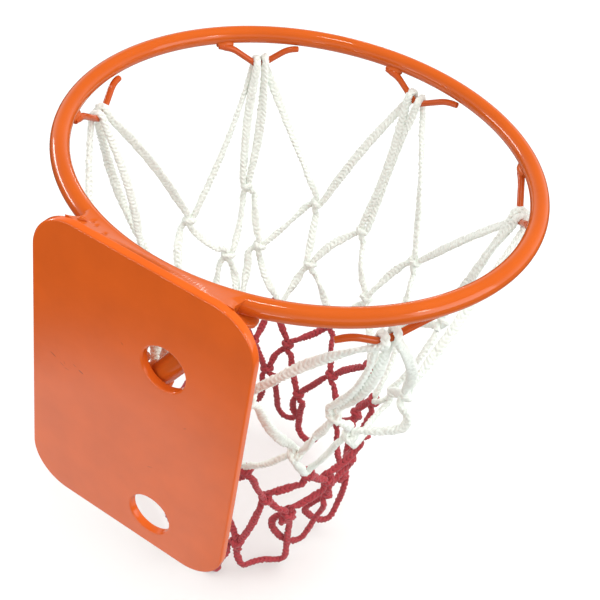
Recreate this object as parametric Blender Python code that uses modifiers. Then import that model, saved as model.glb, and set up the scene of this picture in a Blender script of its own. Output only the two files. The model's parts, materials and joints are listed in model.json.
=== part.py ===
"""Mini basketball hoop: steel plate, round-bar rim on two brace rods, six open wire hooks and a cord net.

Metres, +Z up. The origin is the centre of the plate's back face, the face that goes against the wall.
The wall is at Y = 0 on the -Y side and the rim stands out in +Y, level, with its centre on X = 0.
"""

import math

import bmesh
import bpy
from mathutils import Matrix, Vector

MM = 0.001
CLEARANCE = 0.3 * MM

# Rim: a full circle of round bar.
RIM_INNER_DIAMETER = 228.5 * MM
RIM_BAR = 9.5 * MM
RIM_RADIUS = (RIM_INNER_DIAMETER + RIM_BAR) / 2
RIM_STEPS = 72
RIM_SIDES = 12

# Plate: flat steel with rounded corners and two bolt holes in one column.
PLATE_WIDTH = 121.0 * MM
PLATE_HEIGHT = 176.0 * MM
PLATE_THICK = 4.5 * MM
PLATE_CORNER = 23.0 * MM
PLATE_EDGE = 0.5 * MM
PLATE_ABOVE_RIM = 8.0 * MM
HOLE_DIAMETER = 24.0 * MM
HOLE_SIDE = 16.0 * MM
UPPER_HOLE_BELOW_RIM = 43.5 * MM
LOWER_HOLE_ABOVE_EDGE = 22.0 * MM

PLATE_FRONT = PLATE_THICK + CLEARANCE
RIM_Y = PLATE_FRONT + RIM_BAR / 2 + RIM_RADIUS
RIM_Z = PLATE_HEIGHT / 2 - PLATE_ABOVE_RIM
RIM_CENTRE = Vector((0.0, RIM_Y, RIM_Z))

# Weld fillet on top of the rim, in the wedge between the bar and the plate.
WELD_HALF_LENGTH = 45.0 * MM
WELD_FOOT = 2.2 * MM
WELD_TOP = 7.4 * MM
WELD_FALL = 4.4 * MM
WELD_REACH = 17.0 * MM
WELD_OVER_BAR = 1.2 * MM
WELD_NOTCH = 8.0 * MM

# Brace rods: from the front of the plate, out and up to the underside of the bar.
BRACE_ROD = 12.0 * MM
BRACE_FOOT_SIDE = 9.5 * MM
BRACE_FOOT_BELOW_RIM = 57.0 * MM
BRACE_HEAD_SIDE = 43.0 * MM
BRACE_SIDES = 20

# Net hooks: open V of wire bent by hand, welded at one end, so each one differs a little from the next.
# Each line gives the angle, how far the low point lies inside the rim's circle, its drop, and how much the
# free end sags below its closest place beside the bar.
HOOKS = (
    (194.0, 8.0 * MM, 18.0 * MM, 0.0),
    (134.6, 5.0 * MM, 17.0 * MM, 0.0),
    (85.2, 5.0 * MM, 17.0 * MM, 0.0),
    (30.0, 5.0 * MM, 17.5 * MM, 5.0 * MM),
    (-37.5, 2.0 * MM, 18.5 * MM, 4.5 * MM),
    (-90.0, 5.0 * MM, 17.0 * MM, 0.0),
)
HOOK_ANGLES = tuple(hook[0] for hook in HOOKS)
HOOK_WIRE = 3.5 * MM
HOOK_INSET = 5.0 * MM
HOOK_RADIUS = RIM_RADIUS - HOOK_INSET
HOOK_PAD = 4.9 * MM
HOOK_HALF_SPAN = 20.0 * MM
HOOK_FREE_HALF_SPAN = 17.5 * MM
HOOK_TURN_OUT = 6.0 * MM
HOOK_FREE_GAP = 0.8 * MM
HOOK_ROUNDNESS = 2

# Net: twelve meshes round, in rows; every level gives the drop below the rim and how far inside it.
CORD = 4.0 * MM
KNOT = 8.4 * MM
LOOP_SIDE = 3.0 * MM
LOOP_RISE = 2.6 * MM
LOOP_SHIFT = 0.2
CORNER_REACH = 5.0 * MM
CORNER_CUT = 1.6 * MM
LEVEL_HUNG = (96.0 * MM, 22.0 * MM)
LEVEL_WHITE = (133.0 * MM, 39.0 * MM)
LEVEL_CHANGE = (165.0 * MM, 53.0 * MM)
LEVEL_RED = (194.0 * MM, 60.0 * MM)
LEVEL_LAST = (223.0 * MM, 62.0 * MM)
LEVEL_END = (258.0 * MM, 59.0 * MM)

ENAMEL = (0.760, 0.176, 0.032, 1.0)
WIRE_ENAMEL = (0.540, 0.110, 0.026, 1.0)
WHITE_CORD = (0.840, 0.820, 0.760, 1.0)
RED_CORD = (0.376, 0.028, 0.042, 1.0)


def clear_scene():
    for obj in list(bpy.data.objects):
        bpy.data.objects.remove(obj, do_unlink=True)


def make_collection(name, hidden=False):
    made = bpy.data.collections.new(name)
    made.hide_render = hidden
    bpy.context.scene.collection.children.link(made)
    return made


def make_material(name, colour, roughness, metallic):
    material = bpy.data.materials.new(name)
    material.use_nodes = True
    shader = material.node_tree.nodes["Principled BSDF"]
    shader.inputs["Base Color"].default_value = colour
    shader.inputs["Roughness"].default_value = roughness
    shader.inputs["Metallic"].default_value = metallic
    return material


def take_active(name, collection):
    """Names the object an operator has just made and moves it into the collection."""
    obj = bpy.context.active_object
    obj.name = name
    obj.data.name = name
    for holder in list(obj.users_collection):
        holder.objects.unlink(obj)
    collection.objects.link(obj)
    return obj


def apply_placement(obj):
    obj.data.transform(obj.matrix_basis)
    obj.matrix_basis = Matrix.Identity(4)


def shade_smooth(obj, angle=None):
    for polygon in obj.data.polygons:
        polygon.use_smooth = True
    if angle is not None:
        obj.data.set_sharp_from_angle(angle=angle)


def boolean(obj, cutter, operation):
    modifier = obj.modifiers.new(operation.title() + " " + cutter.name, "BOOLEAN")
    modifier.object = cutter
    modifier.operation = operation
    modifier.solver = "EXACT"


def mark_cutter(obj):
    obj.hide_render = True
    obj.display_type = "WIRE"
    return obj


def curve_to_mesh(curve_object, name, collection):
    """A plain mesh object made from a curve object, which is then removed."""
    bpy.context.view_layer.update()
    graph = bpy.context.evaluated_depsgraph_get()
    mesh = bpy.data.meshes.new_from_object(curve_object.evaluated_get(graph))
    mesh.name = name
    bpy.data.objects.remove(curve_object, do_unlink=True)
    shape = bmesh.new()
    shape.from_mesh(mesh)
    bmesh.ops.remove_doubles(shape, verts=shape.verts, dist=0.001 * MM)
    bmesh.ops.recalc_face_normals(shape, faces=shape.faces)
    shape.to_mesh(mesh)
    shape.free()
    obj = bpy.data.objects.new(name, mesh)
    collection.objects.link(obj)
    return obj


def swept_rod(name, points, diameter, collection, roundness, cyclic=False, radii=None):
    """Round stock bent along the points: a poly curve with a round bevel and filled caps."""
    curve = bpy.data.curves.new(name, "CURVE")
    curve.dimensions = "3D"
    curve.bevel_depth = diameter / 2
    curve.bevel_resolution = roundness
    curve.use_fill_caps = True
    spline = curve.splines.new("POLY")
    spline.points.add(len(points) - 1)
    spline.use_cyclic_u = cyclic
    for index, place in enumerate(points):
        spline.points[index].co = (*place, 1.0)
        spline.points[index].radius = 1.0 if radii is None else radii[index]
    holder = bpy.data.objects.new(name + "_path", curve)
    collection.objects.link(holder)
    return curve_to_mesh(holder, name, collection)


def extruded_outline(name, outline, half_depth, collection):
    """A flat outline filled on both sides and extruded either way from its plane."""
    curve = bpy.data.curves.new(name, "CURVE")
    curve.dimensions = "2D"
    curve.fill_mode = "BOTH"
    curve.extrude = half_depth
    spline = curve.splines.new("POLY")
    spline.points.add(len(outline) - 1)
    spline.use_cyclic_u = True
    for index, place in enumerate(outline):
        spline.points[index].co = (*place, 0.0, 1.0)
    holder = bpy.data.objects.new(name + "_outline", curve)
    collection.objects.link(holder)
    return curve_to_mesh(holder, name, collection)


def rim_torus(name, bar_radius, collection, steps, sides):
    bpy.ops.mesh.primitive_torus_add(
        major_radius=RIM_RADIUS,
        minor_radius=bar_radius,
        major_segments=steps,
        minor_segments=sides,
        location=RIM_CENTRE,
    )
    obj = take_active(name, collection)
    apply_placement(obj)
    return obj


def upright_cylinder(name, radius, centre, half_height, collection, sides):
    bpy.ops.mesh.primitive_cylinder_add(
        radius=radius, depth=2 * half_height, vertices=sides, location=centre
    )
    obj = take_active(name, collection)
    apply_placement(obj)
    return obj


def on_wall(angle, along, radius, drop):
    """A point below the rim: angle round it in degrees, then a distance along it, a radius and a drop."""
    turn = math.radians(angle) + along / radius
    return RIM_CENTRE + Vector((radius * math.cos(turn), radius * math.sin(turn), -drop))


def rounded_corners(points, reach, steps):
    """The path with each inner corner replaced by a short arc that starts and ends `reach` from it."""
    path = [points[0]]
    for before, corner, after in zip(points, points[1:], points[2:]):
        start = corner + (before - corner).normalized() * reach
        end = corner + (after - corner).normalized() * reach
        for step in range(steps + 1):
            t = step / steps
            path.append((1 - t) ** 2 * start + 2 * t * (1 - t) * corner + t**2 * end)
    path.append(points[-1])
    return path


def make_plate(parts, cutters, material):
    outline = []
    for side_x, side_z, start in ((1, 1, 0), (-1, 1, 90), (-1, -1, 180), (1, -1, 270)):
        for step in range(9):
            turn = math.radians(start + 90 * step / 8)
            outline.append(
                (
                    side_x * (PLATE_WIDTH / 2 - PLATE_CORNER) + PLATE_CORNER * math.cos(turn),
                    side_z * (PLATE_HEIGHT / 2 - PLATE_CORNER) + PLATE_CORNER * math.sin(turn),
                )
            )
    plate = extruded_outline("mounting_plate", outline, PLATE_THICK / 2, parts)
    plate.data.transform(Matrix.Rotation(math.radians(90), 4, "X"))
    plate.data.transform(Matrix.Translation((0.0, PLATE_THICK / 2, 0.0)))
    bevel = plate.modifiers.new("Broken edges", "BEVEL")
    bevel.width = PLATE_EDGE
    bevel.segments = 1
    bevel.limit_method = "ANGLE"
    bevel.angle_limit = math.radians(60)
    heights = (RIM_Z - UPPER_HOLE_BELOW_RIM, LOWER_HOLE_ABOVE_EDGE - PLATE_HEIGHT / 2)
    for number, height in enumerate(heights, 1):
        bpy.ops.mesh.primitive_cylinder_add(
            radius=HOLE_DIAMETER / 2,
            depth=4 * PLATE_THICK,
            vertices=36,
            location=(HOLE_SIDE, PLATE_THICK / 2, height),
            rotation=(math.radians(90), 0.0, 0.0),
        )
        hole = mark_cutter(take_active("bolt_hole_" + str(number), cutters))
        boolean(plate, hole, "DIFFERENCE")
    shade_smooth(plate, math.radians(35))
    plate.data.materials.append(material)
    return plate


def make_rim(parts, material):
    rim = rim_torus("rim", RIM_BAR / 2, parts, RIM_STEPS, RIM_SIDES)
    shade_smooth(rim)
    rim.data.materials.append(material)
    return rim


def make_rim_weld(parts, cutters, material):
    """The fillet follows the bar because the bar, a little enlarged, is cut out of it."""
    outline = [
        (PLATE_FRONT, WELD_FOOT),
        (PLATE_FRONT + WELD_REACH, WELD_FOOT),
        (PLATE_FRONT + WELD_REACH, WELD_TOP - WELD_FALL),
        (PLATE_FRONT + WELD_REACH / 2, WELD_TOP - WELD_FALL * 0.44),
        (PLATE_FRONT + 1.5 * MM, WELD_TOP - 0.2 * MM),
        (PLATE_FRONT, WELD_TOP - 0.6 * MM),
    ]
    weld = extruded_outline("rim_weld", outline, WELD_HALF_LENGTH, parts)
    turn = Matrix(((0.0, 0.0, 1.0, 0.0), (1.0, 0.0, 0.0, 0.0), (0.0, 1.0, 0.0, 0.0), (0.0, 0.0, 0.0, 1.0)))
    weld.data.transform(Matrix.Translation((0.0, 0.0, RIM_Z)) @ turn)
    bar = mark_cutter(rim_torus("rim_clearance", RIM_BAR / 2 + CLEARANCE, cutters, 2 * RIM_STEPS, 24))
    boolean(weld, bar, "DIFFERENCE")
    inside = upright_cylinder(
        "weld_inner_limit",
        RIM_RADIUS - WELD_OVER_BAR,
        RIM_CENTRE,
        2 * RIM_BAR,
        cutters,
        2 * RIM_STEPS,
    )
    boolean(weld, mark_cutter(inside), "DIFFERENCE")
    for number, side in enumerate((-1, 1), 1):
        centre = (side * (WELD_HALF_LENGTH + WELD_NOTCH * 0.5), PLATE_FRONT + WELD_NOTCH * 0.95, RIM_Z)
        notch = upright_cylinder(
            "weld_notch_" + str(number), WELD_NOTCH, centre, 2 * RIM_BAR, cutters, 24
        )
        boolean(weld, mark_cutter(notch), "DIFFERENCE")
    shade_smooth(weld, math.radians(40))
    weld.data.materials.append(material)
    return weld


def make_braces(parts, cutters, material):
    """Two straight rods in a V, sawn square at the plate and level under the bar."""
    head_y = RIM_Y - math.sqrt(RIM_RADIUS**2 - BRACE_HEAD_SIDE**2)
    foot_y = PLATE_FRONT + CLEARANCE + BRACE_ROD / 2
    head_z = RIM_Z - RIM_BAR / 2 - CLEARANCE
    bpy.ops.mesh.primitive_cube_add(size=1.0, location=(0.0, head_y, head_z + BRACE_ROD))
    level = take_active("brace_head_level", cutters)
    level.scale = (4 * BRACE_HEAD_SIDE, 4 * BRACE_ROD, 2 * BRACE_ROD)
    apply_placement(level)
    mark_cutter(level)
    for name, side in (("brace_rod_left", -1), ("brace_rod_right", 1)):
        foot = Vector((side * BRACE_FOOT_SIDE, foot_y, RIM_Z - BRACE_FOOT_BELOW_RIM))
        head = Vector((side * BRACE_HEAD_SIDE, head_y, head_z))
        way = (head - foot).normalized()
        length = (head - foot).length + BRACE_ROD
        bpy.ops.mesh.primitive_cylinder_add(radius=BRACE_ROD / 2, depth=length, vertices=BRACE_SIDES)
        rod = take_active(name, parts)
        rod.data.transform(Matrix.Translation((0.0, 0.0, length / 2)))
        rod.data.transform(Matrix.Translation(foot) @ way.to_track_quat("Z", "Y").to_matrix().to_4x4())
        boolean(rod, level, "DIFFERENCE")
        shade_smooth(rod, math.radians(40))
        rod.data.materials.append(material)


def make_hook(name, hook, parts, material):
    """Wire run: welded pad under the bar, down to the low point, up to a free end turned along the bar."""
    angle, inside, depth, sag = hook
    pad_drop = math.sqrt((RIM_BAR / 2 + CLEARANCE + HOOK_PAD / 2) ** 2 - HOOK_INSET**2)
    free_drop = math.sqrt((RIM_BAR / 2 + HOOK_FREE_GAP + HOOK_WIRE / 2) ** 2 - HOOK_INSET**2) + sag
    corners = [
        on_wall(angle, HOOK_HALF_SPAN + HOOK_TURN_OUT, HOOK_RADIUS, pad_drop),
        on_wall(angle, HOOK_HALF_SPAN, HOOK_RADIUS, pad_drop),
        on_wall(angle, 0.0, RIM_RADIUS - inside, depth),
        on_wall(angle, -HOOK_FREE_HALF_SPAN, HOOK_RADIUS, free_drop),
        on_wall(angle, -HOOK_FREE_HALF_SPAN - HOOK_TURN_OUT, HOOK_RADIUS, free_drop),
    ]
    path = rounded_corners(corners, 4.5 * MM, 3)
    radii = [1.0] * len(path)
    for index in range(4):
        radii[index] = HOOK_PAD / HOOK_WIRE
    radii[4] = (1.0 + HOOK_PAD / HOOK_WIRE) / 2
    wire = swept_rod(name, path, HOOK_WIRE, parts, HOOK_ROUNDNESS, radii=radii)
    shade_smooth(wire, math.radians(50))
    wire.data.materials.append(material)
    return wire


def make_hung_loops(name, hook, before, after, parts, material):
    """One run of cord: up from the knot on the left, twice over the hook, down to the knot on the right.

    Each pass over the wire goes from the outside of the hook to its inside, so the wire is held in the loop.
    """
    angle, hook_inside, depth, _ = hook
    low_point = RIM_RADIUS - hook_inside
    hook_radius = low_point + (HOOK_RADIUS - low_point) * LOOP_SHIFT
    saddle = HOOK_WIRE / 2 + CLEARANCE + CORD / 2
    drop, inside = LEVEL_HUNG
    radius = RIM_RADIUS - inside
    stop = drop - KNOT / 2 - CORD / 2 - 2 * CLEARANCE
    end_gap = CORD / 2 + 2 * CLEARANCE
    half_left = math.radians(angle - before) / 2 * radius - end_gap
    half_right = math.radians(after - angle) / 2 * radius - end_gap

    def over_hook(along, outward_first):
        path = []
        for step in range(7):
            turn = math.pi * step / 6
            side = math.cos(turn) if outward_first else -math.cos(turn)
            drop_here = depth - LOOP_RISE - saddle * math.sin(turn)
            path.append(on_wall(angle, along, hook_radius + side * saddle, drop_here))
        return path

    left = over_hook(-LOOP_SIDE, True)
    right = over_hook(LOOP_SIDE, False)
    turn_radius = CORD * 0.62
    bottom = []
    for step in range(5):
        turn = math.pi * step / 4
        drop_here = stop - turn_radius + turn_radius * math.sin(turn)
        bottom.append(on_wall(angle, -turn_radius * math.cos(turn), radius, drop_here))
    path = [on_wall(angle, -half_left, radius, stop), *left, *bottom]
    path += [*right, on_wall(angle, half_right, radius, stop)]
    cord = swept_rod(name, path, CORD, parts, 2)
    shade_smooth(cord, math.radians(70))
    cord.data.materials.append(material)
    return cord


def middle_angles(angles):
    """Every hook and every mid-span between hooks, in order round the rim."""
    ordered = sorted(angle % 360.0 for angle in angles)
    found = []
    for index, angle in enumerate(ordered):
        following = ordered[(index + 1) % len(ordered)]
        if following <= angle:
            following += 360.0
        found.append(angle)
        found.append((angle + following) / 2)
    return found


def shifted_half(angles):
    """The angles half-way between neighbours, where the next row of knots sits."""
    found = []
    for index, angle in enumerate(angles):
        following = angles[(index + 1) % len(angles)]
        if following <= angle:
            following += 360.0
        found.append((angle + following) / 2)
    return found


def make_net_row(name, top_angles, top, low, closing, parts, cutters, material):
    """One row of meshes: a zigzag of cord round the net with a knot at each of its upper corners."""
    low_angles = shifted_half(top_angles)
    top_drop, low_drop = top[0], low[0]
    top_radius, low_radius = RIM_RADIUS - top[1], RIM_RADIUS - low[1]
    if not closing:
        low_drop -= KNOT / 2 + CORD / 2 + 2 * CLEARANCE - CORNER_CUT
    corners = []
    for above, below in zip(top_angles, low_angles):
        corners.append(on_wall(above, 0.0, top_radius, top_drop))
        corners.append(on_wall(below, 0.0, low_radius, low_drop))
    count = len(corners)
    path = []
    for index, corner in enumerate(corners):
        start = corner + (corners[index - 1] - corner).normalized() * CORNER_REACH
        end = corner + (corners[(index + 1) % count] - corner).normalized() * CORNER_REACH
        path += [start.lerp(corner, 0.35), end.lerp(corner, 0.35)]
    row = swept_rod(name, path, CORD, parts, 1, cyclic=True)
    knots = []
    for number, above in enumerate(top_angles):
        bpy.ops.mesh.primitive_uv_sphere_add(
            radius=KNOT / 2,
            segments=7,
            ring_count=5,
            location=on_wall(above, 0.0, top_radius, top_drop),
        )
        knot = take_active(name + "_knot_" + str(number), cutters)
        apply_placement(knot)
        knots.append(knot)
    joined = bmesh.new()
    for knot in knots:
        joined.from_mesh(knot.data)
        bpy.data.objects.remove(knot, do_unlink=True)
    mesh = bpy.data.meshes.new(name + "_knots")
    joined.to_mesh(mesh)
    joined.free()
    every_knot = bpy.data.objects.new(name + "_knots", mesh)
    cutters.objects.link(every_knot)
    boolean(row, mark_cutter(every_knot), "UNION")
    shade_smooth(row, math.radians(70))
    row.data.materials.append(material)
    return row


def main():
    clear_scene()
    parts = make_collection("mini_basketball_hoop")
    cutters = make_collection("cutters", hidden=True)
    make_rim(parts, make_material("rim_enamel", ENAMEL, 0.3, 0.0))
    make_plate(parts, cutters, make_material("plate_enamel", ENAMEL, 0.25, 0.0))
    make_rim_weld(parts, cutters, make_material("weld_enamel", ENAMEL, 0.35, 0.0))
    make_braces(parts, cutters, make_material("brace_enamel", ENAMEL, 0.35, 0.0))
    wire = make_material("hook_enamel", WIRE_ENAMEL, 0.35, 0.0)
    white = make_material("white_cord", WHITE_CORD, 0.9, 0.0)
    red = make_material("red_cord", RED_CORD, 0.9, 0.0)
    ordered = sorted(HOOKS, reverse=True)
    for number, hook in enumerate(ordered, 1):
        before = ordered[number][0] if number < len(ordered) else ordered[0][0] - 360.0
        after = ordered[number - 2][0] if number > 1 else ordered[-1][0] + 360.0
        make_hook("net_hook_" + str(number), hook, parts, wire)
        make_hung_loops("hung_loops_" + str(number), hook, before, after, parts, white)
    first = middle_angles(HOOK_ANGLES)
    second = shifted_half(first)
    third = shifted_half(second)
    fourth = shifted_half(third)
    fifth = shifted_half(fourth)
    rows = (
        ("net_white_row_1", first, LEVEL_HUNG, LEVEL_WHITE, False, white),
        ("net_white_row_2", second, LEVEL_WHITE, LEVEL_CHANGE, False, white),
        ("net_red_row_1", third, LEVEL_CHANGE, LEVEL_RED, False, red),
        ("net_red_row_2", fourth, LEVEL_RED, LEVEL_LAST, False, red),
        ("net_red_end_loops", fifth, LEVEL_LAST, LEVEL_END, True, red),
    )
    for name, angles, top, low, closing, cord in rows:
        make_net_row(name, angles, top, low, closing, parts, cutters, cord)


main()
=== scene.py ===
"""The looks of a mini basketball hoop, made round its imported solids: enamelled steel, welds and a knotted cord net."""

import json
import math

import bmesh
import bpy
import numpy as np
from mathutils import Matrix, Vector

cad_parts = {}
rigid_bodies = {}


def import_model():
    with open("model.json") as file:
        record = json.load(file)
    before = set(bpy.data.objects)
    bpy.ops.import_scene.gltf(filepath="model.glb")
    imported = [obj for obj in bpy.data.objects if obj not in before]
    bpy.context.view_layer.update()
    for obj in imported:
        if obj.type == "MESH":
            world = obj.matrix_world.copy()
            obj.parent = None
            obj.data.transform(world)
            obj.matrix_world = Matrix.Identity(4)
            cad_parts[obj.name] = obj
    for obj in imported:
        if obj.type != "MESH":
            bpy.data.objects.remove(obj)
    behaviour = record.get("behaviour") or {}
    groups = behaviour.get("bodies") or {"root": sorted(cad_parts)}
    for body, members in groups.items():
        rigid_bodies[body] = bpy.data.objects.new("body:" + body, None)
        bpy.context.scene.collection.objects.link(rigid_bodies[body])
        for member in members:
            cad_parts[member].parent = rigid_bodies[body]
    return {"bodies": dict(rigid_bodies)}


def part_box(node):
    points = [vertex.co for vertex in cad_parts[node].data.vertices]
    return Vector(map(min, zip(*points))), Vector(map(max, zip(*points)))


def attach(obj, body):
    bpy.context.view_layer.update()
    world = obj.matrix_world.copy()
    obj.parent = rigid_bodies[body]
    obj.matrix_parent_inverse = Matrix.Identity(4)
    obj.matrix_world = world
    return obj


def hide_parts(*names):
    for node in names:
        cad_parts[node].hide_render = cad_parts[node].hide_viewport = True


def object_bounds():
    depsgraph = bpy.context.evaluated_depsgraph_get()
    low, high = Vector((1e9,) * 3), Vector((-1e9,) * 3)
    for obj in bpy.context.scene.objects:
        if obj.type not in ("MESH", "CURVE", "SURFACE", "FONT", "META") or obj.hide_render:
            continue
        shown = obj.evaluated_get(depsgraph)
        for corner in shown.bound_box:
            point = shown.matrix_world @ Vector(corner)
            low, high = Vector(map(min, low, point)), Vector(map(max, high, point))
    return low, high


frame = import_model()
CAD_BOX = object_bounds()

bl_info = {
    "name": "Mini basketball hoop",
    "version": (1, 0, 0),
    "blender": (4, 5, 0),
    "location": "3D View > Sidebar > Hoop",
    "description": "Makes a wall-mounted mini hoop: plate, round-bar rim, welds, open hooks and a two-colour net",
    "category": "Add Mesh",
}

MM = 0.001
BODY = next(iter(frame["bodies"]))

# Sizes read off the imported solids.
RIM_LOW, RIM_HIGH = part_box("rim")
PLATE_LOW, PLATE_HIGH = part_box("mounting_plate")
RIM_CENTRE = (RIM_LOW + RIM_HIGH) / 2
BAR_DIAMETER = RIM_HIGH.z - RIM_LOW.z
RIM_RADIUS = (RIM_HIGH.x - RIM_LOW.x) / 2 - BAR_DIAMETER / 2

# Places that the solids' source sets: x and z of the bolt holes, and where a brace rod meets plate and rim.
HOLES = ((0.016, 0.0365), (0.016, -0.066))
BRACE_FOOT = (9.5 * MM, 57.0 * MM)
BRACE_HEAD_SIDE = 43.0 * MM
# The rod runs on past the foot's middle, down the plate.
BRACE_TAIL = 5.0 * MM

# Each hook as it is bent by hand: its angle, then the weld end's root, the low point, the free end's bend and the
# free end, each as a distance along the rim, an inset from the rim's circle and a drop, and last where its two
# loops hang: their middle and half their distance along the rim. Angles in degrees, the rest in mm.
HOOKS = (
    (194.0, (20.0, 5.0, 5.3), (0.0, 8.0, 18.0), (-17.5, 5.0, 5.3), (-23.0, 4.6, 5.3), (0.0, 3.0)),
    (134.6, (19.0, 5.0, 5.3), (1.2, 5.0, 17.5), (-14.5, 5.0, 5.6), (-20.5, 3.8, 5.6), (0.6, 2.3)),
    (85.2, (18.8, 5.0, 5.3), (3.3, 5.0, 17.8), (-15.0, 4.4, 6.8), (-22.3, 3.6, 5.7), (4.0, 3.2)),
    (30.0, (19.5, 3.6, 5.9), (-3.0, 5.0, 18.5), (-17.0, 3.5, 9.5), (-21.5, 2.5, 8.6), (-3.0, 3.0)),
    (-37.5, (24.0, 1.8, 6.5), (-2.0, 2.0, 17.6), (-17.4, 2.0, 13.0), (-25.0, 2.0, 15.0), (0.5, 3.0)),
    (-90.0, (20.0, 5.0, 5.3), (0.0, 5.0, 17.0), (-17.5, 5.0, 5.3), (-23.5, 5.5, 5.3), (0.0, 3.0)),
)
# The flattened tail beyond a hook's root, as a distance, an inset and a drop from the root, and the bends' length.
HOOK_TAIL = (7.2, -1.0, -0.4)
HOOK_BEND = 4.5 * MM
# The weld bead of a hook, from and to: distance along the rim from the root, inset and drop, in mm.
HOOK_BEAD = ((8.2, 2.5, 4.0), (-1.2, 2.5, 4.2))

# Net knots as (angle in degrees, drop below the rim in mm, distance from the net's axis in mm). The rows
# start at the knot under the fourth hook and go round with the angle. Each row's knots sit between those above.
HUNG_KNOTS = (
    (35, 102, 94), (65, 100.5, 95), (90, 103.5, 93.5), (110, 98, 96), (135.5, 92.5, 98), (159.5, 107.5, 91.5),
    (186, 114, 88), (226, 98, 95), (264, 96, 95), (294, 74, 102), (319, 84, 99.5), (343, 84, 99.5),
)
WHITE_KNOTS = (
    (50, 131, 81), (75, 135.5, 79), (106, 133, 80), (130, 127.5, 82.5), (143.5, 132.5, 80.5), (170, 140, 77),
    (207, 137, 79), (246, 133, 80), (280, 128, 82), (313.5, 135.5, 79), (331, 118, 87), (382, 145, 75),
)
CHANGE_KNOTS = (
    (51, 161, 67), (86, 160, 67.5), (118, 160.5, 68.5), (139, 159, 68.5), (158, 166, 66), (190, 170, 64),
    (227, 168, 65), (263, 166, 66), (297, 167, 65.5), (330, 176, 62.5), (365, 165, 67), (388, 163, 66),
)
RED_KNOTS = (
    (73, 190, 59.5), (106.5, 186, 60.5), (128, 188, 60), (150, 194, 59), (167, 197, 59), (210, 199, 59),
    (246, 198, 59), (279, 198, 59), (310, 198.5, 58.5), (348, 194, 60), (372, 197, 61), (398, 188, 60),
)
LAST_KNOTS = (
    (92, 221, 57), (116, 208.5, 57.5), (138, 215, 57), (163, 224, 57), (195, 230, 57), (230, 232, 57),
    (262, 234, 58), (298, 240, 58.5), (326, 216, 57.5), (354.5, 215.5, 58), (380, 220, 58), (414, 212, 57.5),
)
END_LOOPS = (
    (98, 247, 59), (125, 243, 59), (150, 250, 60), (178, 255, 60), (212, 257, 60), (258, 250, 60),
    (278, 259, 63), (315, 258, 60), (333, 242, 59), (357, 241, 60), (398, 246, 60), (442, 258, 60),
)
# Four end loops lie in shapes of their own, each a line of such places.
SET_LOOPS = {
    6: ((283.8, 256, 61.9), (286.9, 261, 64.4), (290.0, 261.5, 64.3), (290.2, 258, 60.7), (293.2, 252, 58.2)),
    7: ((299.1, 246, 58.3), (300.7, 254, 59.5), (304.1, 258, 60.9), (308.8, 258.5, 58.9), (315.6, 258, 57.4),
        (325.9, 258, 59.2), (328.7, 256, 59.8), (329.8, 250, 58.1), (330.7, 240, 55.3), (330.5, 228, 53.9)),
    8: ((326.5, 223, 52.8), (322.0, 227, 50.0), (320.4, 232, 50.0), (322.9, 238, 51.5), (328.7, 245, 53.0),
        (336.0, 250, 54.8), (342.4, 250, 55.7), (346.6, 244, 56.3), (350.7, 236, 56.7), (353.5, 229, 58.0)),
    9: ((356.5, 242.0, 45.7), (1.2, 250.0, 49.1), (5.7, 254.0, 53.4), (9.6, 254.0, 58.0), (16.8, 244.0, 60.5),
        (19.6, 232.0, 61.6), (23.3, 226.0, 61.1)),
}

# A wrap: the lower cord comes up through the bight, round the back of its neck and slantwise over the front, in mm.
WRAP = (
    (-3.6, 0.0, -4.6), (-1.9, -1.1, -2.5), (-0.5, -0.3, -0.8), (0.6, 1.9, 0.5), (2.3, 1.2, 1.6), (2.3, -1.2, 2.3),
    (0.0, -2.1, 2.4), (-2.3, -0.9, 2.0), (-1.9, 1.5, 1.2), (0.4, 2.5, -0.2), (1.7, 1.4, -1.9), (3.4, 0.2, -4.4),
)
# A bight: the upper cord's end of a mesh, down and back up through the wrap.
BIGHT = (
    (-2.0, 0.1, 4.8), (-1.3, 0.1, 2.4), (-1.25, 0.4, 0.2), (0.0, 0.6, -1.5), (1.25, 0.4, 0.2), (1.3, 0.1, 2.4),
    (2.0, 0.1, 4.8),
)
# The bottom of an open end loop: along the row and up.
LOOP_BOTTOM = ((-7.0, 5.0), (-3.6, 1.0), (0.0, 0.0), (3.6, 1.0), (7.0, 5.0))
# In a knot the cord is pulled nearly round and a little thinner, and over a wire less so.
KNOT_FLATNESS, KNOT_SQUEEZE = 0.1, 0.88
WIRE_FLATNESS, WIRE_SQUEEZE = 0.35, 0.95
# How far a level strand sags, how far a hung one bows, and what share of its bow goes outwards.
MESH_SAG, LOOP_SAG, HUNG_SAG = 2.5 * MM, 1.0 * MM, 0.0
HUNG_BOW, OUTWARD_BOW = 2.4 * MM, 0.6
# How fast a cord turns its flat side outwards, and the least slant at which it does.
FACING_PULL, FACING_SLANT = 0.35, 0.15

# Where a stretch of cord visibly bulges: piece, mesh or hook, stretch: along the row, outwards and down, in mm.
PUSHES = {
    ("white_meshes_1", 10, 1): (9.5, 10.0, 1.5),
    ("top_loops_1", 0, 1): (0.0, 7.0, 0.0),
    ("top_loops_1", 0, 2): (0.0, -2.5, 0.0),
    ("top_loops_1", 0, 3): (0.0, 5.0, 0.0),
    ("top_loops_5", 0, 0): (0.0, 0.0, -5.0),
    ("top_loops_5", 0, 1): (0.0, 6.0, 0.0),
    ("top_loops_5", 0, 2): (1.5, 6.0, 0.0),
    ("top_loops_5", 0, 3): (3.0, 2.0, 2.0),
}

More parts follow.
